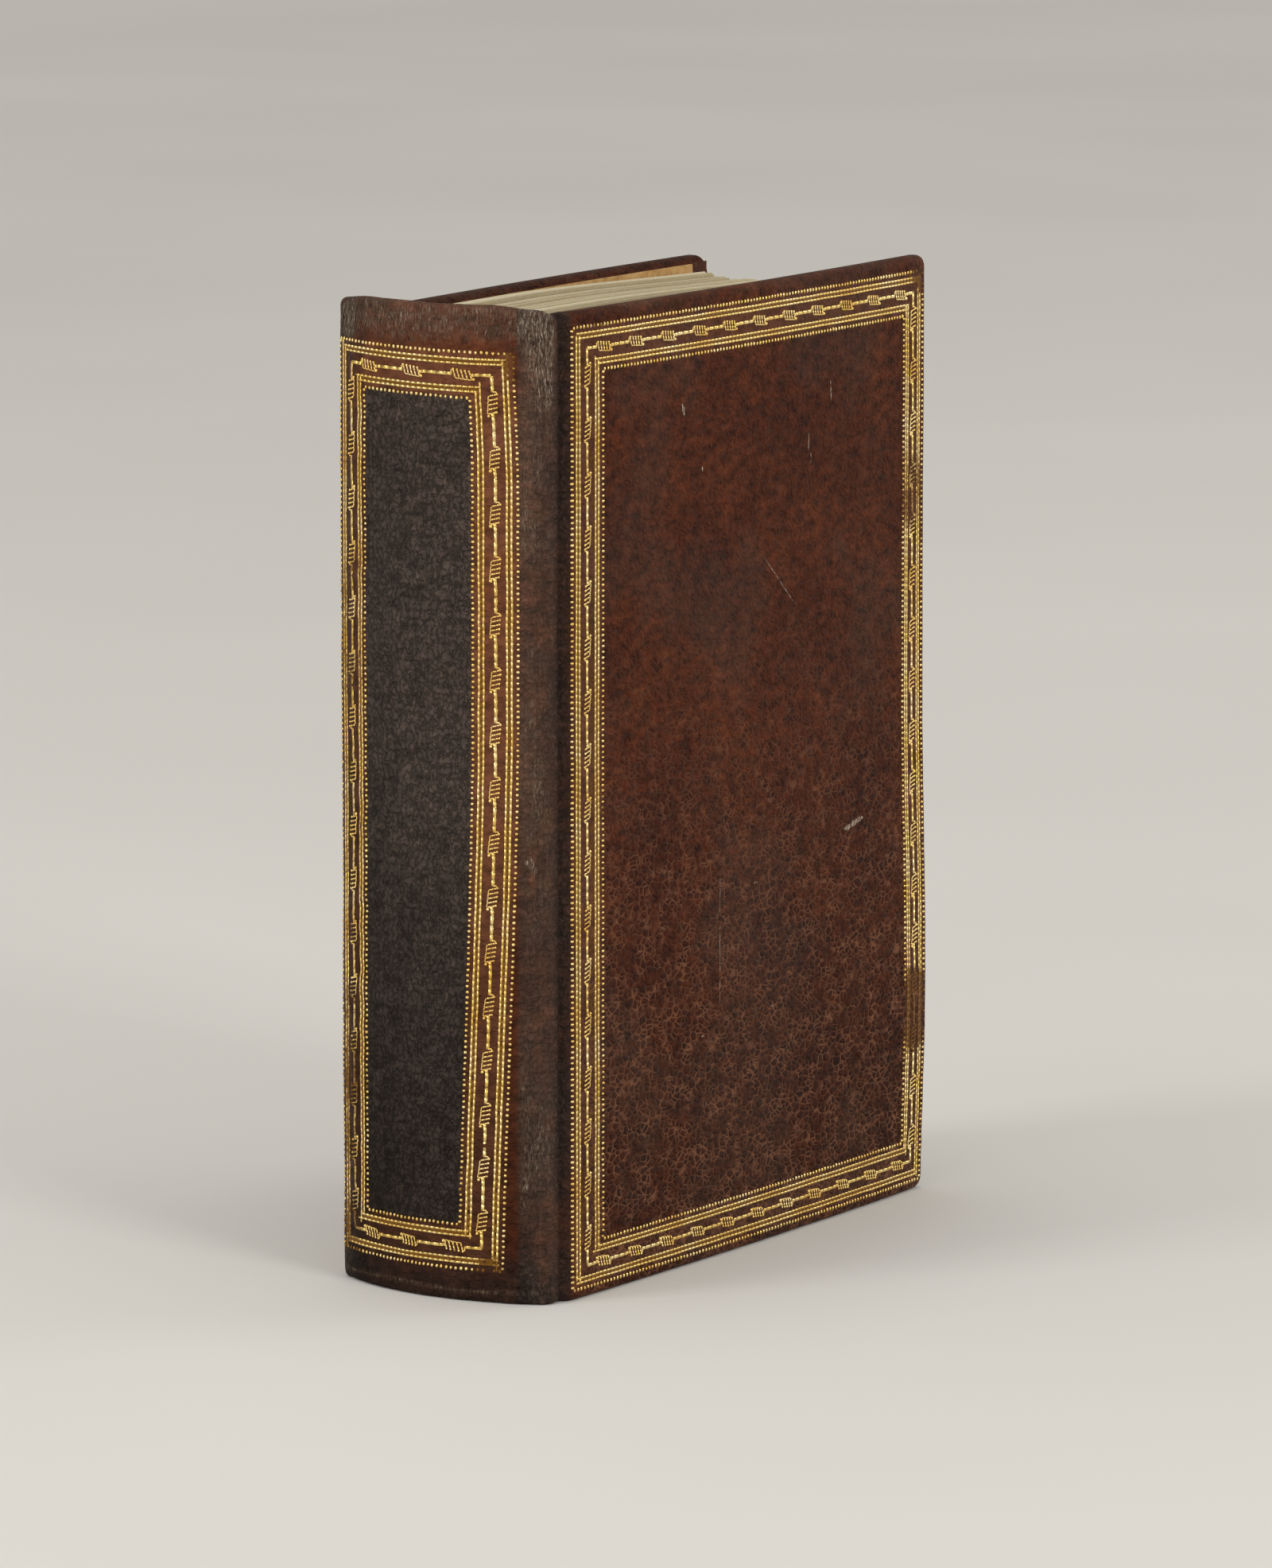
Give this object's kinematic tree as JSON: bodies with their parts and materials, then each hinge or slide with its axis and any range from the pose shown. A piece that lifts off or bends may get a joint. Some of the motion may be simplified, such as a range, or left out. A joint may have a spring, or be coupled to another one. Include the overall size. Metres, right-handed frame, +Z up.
{
  "type": "leather-bound manuscript codex",
  "caption": "Closed vellum codex in brown goatskin with a rounded spine, gilt-tooled frames with a coil roll, and hinged covers; stands on its tail.",
  "frame": {"origin": "middle of the book's footprint, at floor level under the tail edges", "axes": "+Z up from tail to head, +Y from the spine to the fore-edge, +X from the back cover to the front cover"},
  "size_m": [0.0594, 0.1451, 0.2015],
  "materials": {
    "goatskin": "pebbled goatskin, rubbed",
    "spine_goatskin": "darkened goatskin, rubbed at the joints",
    "gold_tooling": "gold leaf tooled into leather, worn",
    "vellum": "cut edges of vellum leaves",
    "pastedown_paper": "buff sheet, matt",
    "pasteboard": "layered pasteboard",
    "lining": "pasted cloth lining",
    "sewing_thong": "alum-tawed skin",
    "endband_thread": "wound thread"
  },
  "bodies": {
    "book_block": {"text_block": "vellum", "spine_lining": "lining", "sewing_support_1": "sewing_thong", "sewing_support_2": "sewing_thong", "sewing_support_3": "sewing_thong", "sewing_support_4": "sewing_thong", "headband": "endband_thread", "tailband": "endband_thread", "spine_leather": "spine_goatskin", "spine_gilding": "gold_tooling"},
    "front_cover": {"front_board": "pasteboard", "front_leather": "goatskin", "front_pastedown": "pastedown_paper", "front_gilding": "gold_tooling"},
    "back_cover": {"back_board": "pasteboard", "back_leather": "goatskin", "back_pastedown": "pastedown_paper", "back_gilding": "gold_tooling"}
  },
  "joints": [
    {"name": "front_cover_hinge", "type": "hinge", "parent": "book_block", "child": "front_cover", "pos_m": [0.0262, -0.06232, 0], "axis": [0, 0, -1], "range_deg": [-0.7, 149]},
    {"name": "back_cover_hinge", "type": "hinge", "parent": "book_block", "child": "back_cover", "pos_m": [-0.0262, -0.06232, 0], "axis": [0, 0, 1], "range_deg": [-0.7, 149]}
  ]
}
